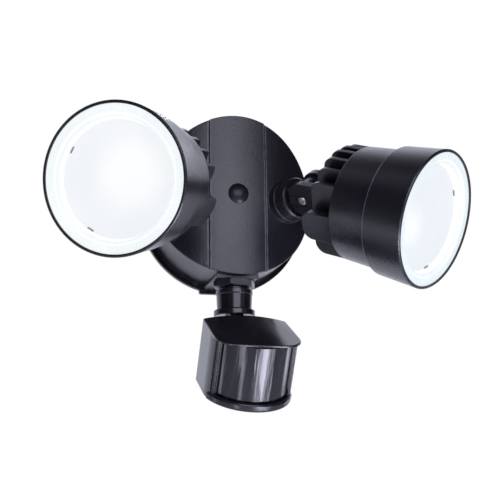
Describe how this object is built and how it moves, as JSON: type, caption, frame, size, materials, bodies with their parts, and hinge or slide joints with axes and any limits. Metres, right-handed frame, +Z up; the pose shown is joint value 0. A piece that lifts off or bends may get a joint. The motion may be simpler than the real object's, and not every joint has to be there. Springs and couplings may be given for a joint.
{
  "type": "motion sensor security light",
  "caption": "Outdoor wall security light: round canopy, finned round lamp heads on swivel knuckles and a motion sensor hanging from a swivel neck.",
  "frame": {"origin": "middle of the canopy on the wall, between the two box screw slots", "axes": "+Z up, -Y out of the wall, +X to the right when facing the light"},
  "size_m": [0.299, 0.192, 0.2318],
  "materials": {
    "bronze_cast": "fine textured dark paint on cast aluminium",
    "bronze_plastic": "fine textured dark plastic",
    "foam": "matt",
    "zinc_steel": "zinc plated",
    "bright_steel": "bright",
    "green_steel": "green dipped earthing screw",
    "black_steel": "blackened",
    "driver_case": "moulded case",
    "circuit_board": "solder mask",
    "electronics": "moulded cases",
    "frosted_lens": "frosted",
    "white_bowl": "satin",
    "white_board": "white mask on aluminium",
    "led_yellow": "phosphor",
    "dark_lens": "glossy",
    "eye_metal": "can",
    "knob_plastic": "moulded"
  },
  "bodies": {
    "fixture": {"canopy_housing": "bronze_cast", "wall_gasket": "foam", "mounting_crossbar": "zinc_steel", "centre_bolt": "zinc_steel", "screw_plug": "bronze_plastic", "ground_screw": "green_steel", "led_driver": "driver_case", "driver_screws": "zinc_steel", "control_board": "circuit_board", "board_parts": "electronics", "board_screws": "zinc_steel", "left_stem_washer": "foam", "left_stem_nut": "zinc_steel", "right_stem_washer": "foam", "right_stem_nut": "zinc_steel", "sensor_locknut": "bronze_cast"},
    "left_stem": {"left_stem": "bronze_cast"},
    "left_head": {"left_lamp_body": "bronze_cast", "left_front_ring": "bronze_cast", "left_lens": "frosted_lens", "left_lens_gasket": "foam", "left_reflector": "white_bowl", "left_led_board": "white_board", "left_led_chips": "led_yellow", "left_tilt_screw": "bright_steel", "left_tilt_nut": "black_steel"},
    "right_stem": {"right_stem": "bronze_cast"},
    "right_head": {"right_lamp_body": "bronze_cast", "right_front_ring": "bronze_cast", "right_lens": "frosted_lens", "right_lens_gasket": "foam", "right_reflector": "white_bowl", "right_led_board": "white_board", "right_led_chips": "led_yellow", "right_tilt_screw": "bright_steel", "right_tilt_nut": "black_steel"},
    "sensor_neck": {"sensor_neck": "bronze_plastic"},
    "sensor_head": {"sensor_housing": "bronze_plastic", "sensor_visor": "bronze_plastic", "sensor_lens": "dark_lens", "sensor_base": "bronze_plastic", "sensor_base_screws": "black_steel", "sensor_board": "circuit_board", "pir_element": "eye_metal", "sensor_tilt_screw": "black_steel", "sensor_tilt_nut": "black_steel"},
    "time_knob": {"time_knob": "knob_plastic"},
    "range_knob": {"range_knob": "knob_plastic"}
  },
  "joints": [
    {"name": "left_pan", "type": "hinge", "parent": "fixture", "child": "left_stem", "pos_m": [-0.0402, -0.05072, -0.0022], "axis": [-0.3688, -0.9295, 0], "range_deg": [-55, 125]},
    {"name": "left_tilt", "type": "hinge", "parent": "left_stem", "child": "left_head", "pos_m": [-0.05123, -0.07851, -0.0022], "axis": [-0.7614, 0.3021, 0.5736], "range_deg": [-31.6, 68.4]},
    {"name": "right_pan", "type": "hinge", "parent": "fixture", "child": "right_stem", "pos_m": [0.0402, -0.05072, -0.0022], "axis": [0.3688, -0.9295, 0], "range_deg": [-128.7, 51.3]},
    {"name": "right_tilt", "type": "hinge", "parent": "right_stem", "child": "right_head", "pos_m": [0.05123, -0.07851, -0.0022], "axis": [-0.7254, -0.2878, -0.6252], "range_deg": [-22.8, 77.2]},
    {"name": "sensor_pan", "type": "hinge", "parent": "fixture", "child": "sensor_neck", "pos_m": [0, -0.043, -0.0706], "axis": [0, 0, 1], "range_deg": [-92, 88]},
    {"name": "sensor_tilt", "type": "hinge", "parent": "sensor_neck", "child": "sensor_head", "pos_m": [0, -0.043, -0.101], "axis": [0.9994, 0.0349, 0], "range_deg": [-28.9, 31.1]},
    {"name": "time_knob_turn", "type": "hinge", "parent": "sensor_head", "child": "time_knob", "pos_m": [0.01189, -0.06822, -0.14998], "axis": [0.0169, -0.483, 0.8755], "range_deg": [-135, 135]},
    {"name": "range_knob_turn", "type": "hinge", "parent": "sensor_head", "child": "range_knob", "pos_m": [-0.0101, -0.06899, -0.14998], "axis": [0.0169, -0.483, 0.8755], "range_deg": [-135, 135]}
  ]
}
